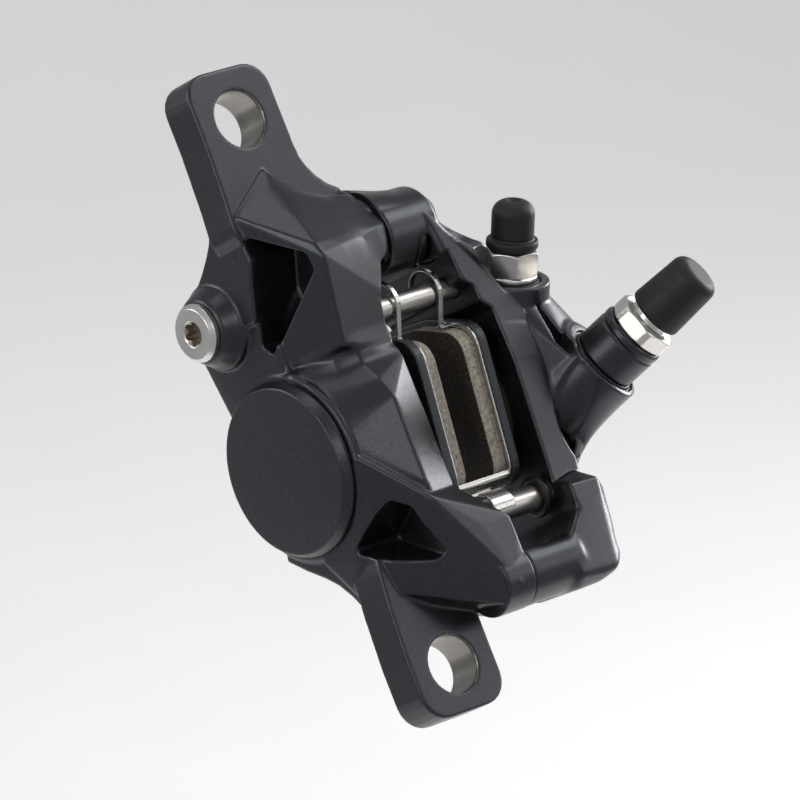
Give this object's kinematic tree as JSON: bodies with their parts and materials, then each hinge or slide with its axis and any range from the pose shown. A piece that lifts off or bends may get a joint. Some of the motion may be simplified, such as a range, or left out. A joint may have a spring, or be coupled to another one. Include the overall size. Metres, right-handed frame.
{
  "type": "hydraulic brake caliper",
  "caption": "Black two-piston hydraulic disc brake caliper for a bicycle, post mount, with pads, spring, bleed nipple and capped hose port.",
  "frame": {"origin": "middle of the two mounting holes, on the ears' mounting face", "axes": "+X along the rotor's axis to the inboard (wheel) side, +Y along the mounting bolts towards the wheel axle, +Z along the line of the two mounting holes, up"},
  "size_m": [0.0572, 0.0449, 0.0871],
  "materials": {
    "body": "satin black",
    "body_cap": "satin black",
    "steel": "satin",
    "seal": "matte",
    "phenolic": "matte",
    "plate": "matte dark",
    "friction": "granular",
    "rubber": "matte",
    "brass": "satin"
  },
  "bodies": {
    "caliper_body": {"body_outboard_half": "body", "body_inboard_half": "body", "body_bolts": "steel", "cylinder_cap": "body_cap", "cylinder_cap_seal": "seal", "outboard_piston_seal": "seal", "inboard_piston_seal": "seal", "crossover_seal": "seal", "plug_screw": "steel", "plug_screw_seal": "seal", "pad_axle": "steel", "lower_pad_pin": "steel", "pin_ring": "seal", "pad_spring": "steel", "bleed_nipple_seal": "seal", "hose_sleeve": "body_cap", "hose_sleeve_seal": "seal", "hose_nut": "steel", "hose_olive": "brass"},
    "outboard_piston": {"outboard_piston": "phenolic"},
    "inboard_piston": {"inboard_piston": "phenolic"},
    "outboard_pad": {"outboard_pad_plate": "plate", "outboard_friction": "friction"},
    "inboard_pad": {"inboard_pad_plate": "plate", "inboard_friction": "friction"},
    "bleed_nipple": {"bleed_nipple": "steel"},
    "bleed_cap": {"bleed_cap": "rubber"},
    "port_cap": {"port_cap": "rubber"}
  },
  "joints": [
    {"name": "outboard_piston_slide", "type": "slide", "parent": "caliper_body", "child": "outboard_piston", "axis": [1, 0, 0], "range_m": [0, 0.0012]},
    {"name": "inboard_piston_slide", "type": "slide", "parent": "caliper_body", "child": "inboard_piston", "axis": [-1, 0, 0], "range_m": [0, 0.0012]},
    {"name": "outboard_pad_slide", "type": "slide", "parent": "caliper_body", "child": "outboard_pad", "axis": [1, 0, 0], "range_m": [0, 0.0012], "deforming": ["pad_spring"]},
    {"name": "inboard_pad_slide", "type": "slide", "parent": "caliper_body", "child": "inboard_pad", "axis": [-1, 0, 0], "range_m": [0, 0.0012], "deforming": ["pad_spring"]},
    {"name": "bleed_nipple_turn", "type": "hinge", "parent": "caliper_body", "child": "bleed_nipple", "pos_m": [0.0305, -0.008, 0.00715], "axis": [0.0349, -0.5428, 0.8391], "range_deg": [0, 180]},
    {"name": "bleed_cap_pull", "type": "slide", "parent": "bleed_nipple", "child": "bleed_cap", "axis": [0.0349, -0.5428, 0.8391], "range_m": [0, 0.016]},
    {"name": "port_cap_pull", "type": "slide", "parent": "caliper_body", "child": "port_cap", "axis": [0.4507, -0.8312, 0.3255], "range_m": [0, 0.016]}
  ],
  "couplings": [
    {"joint": "inboard_piston_slide", "follows": "outboard_piston_slide", "ratio": 1},
    {"joint": "outboard_pad_slide", "follows": "outboard_piston_slide", "ratio": 1},
    {"joint": "inboard_pad_slide", "follows": "outboard_piston_slide", "ratio": 1}
  ]
}
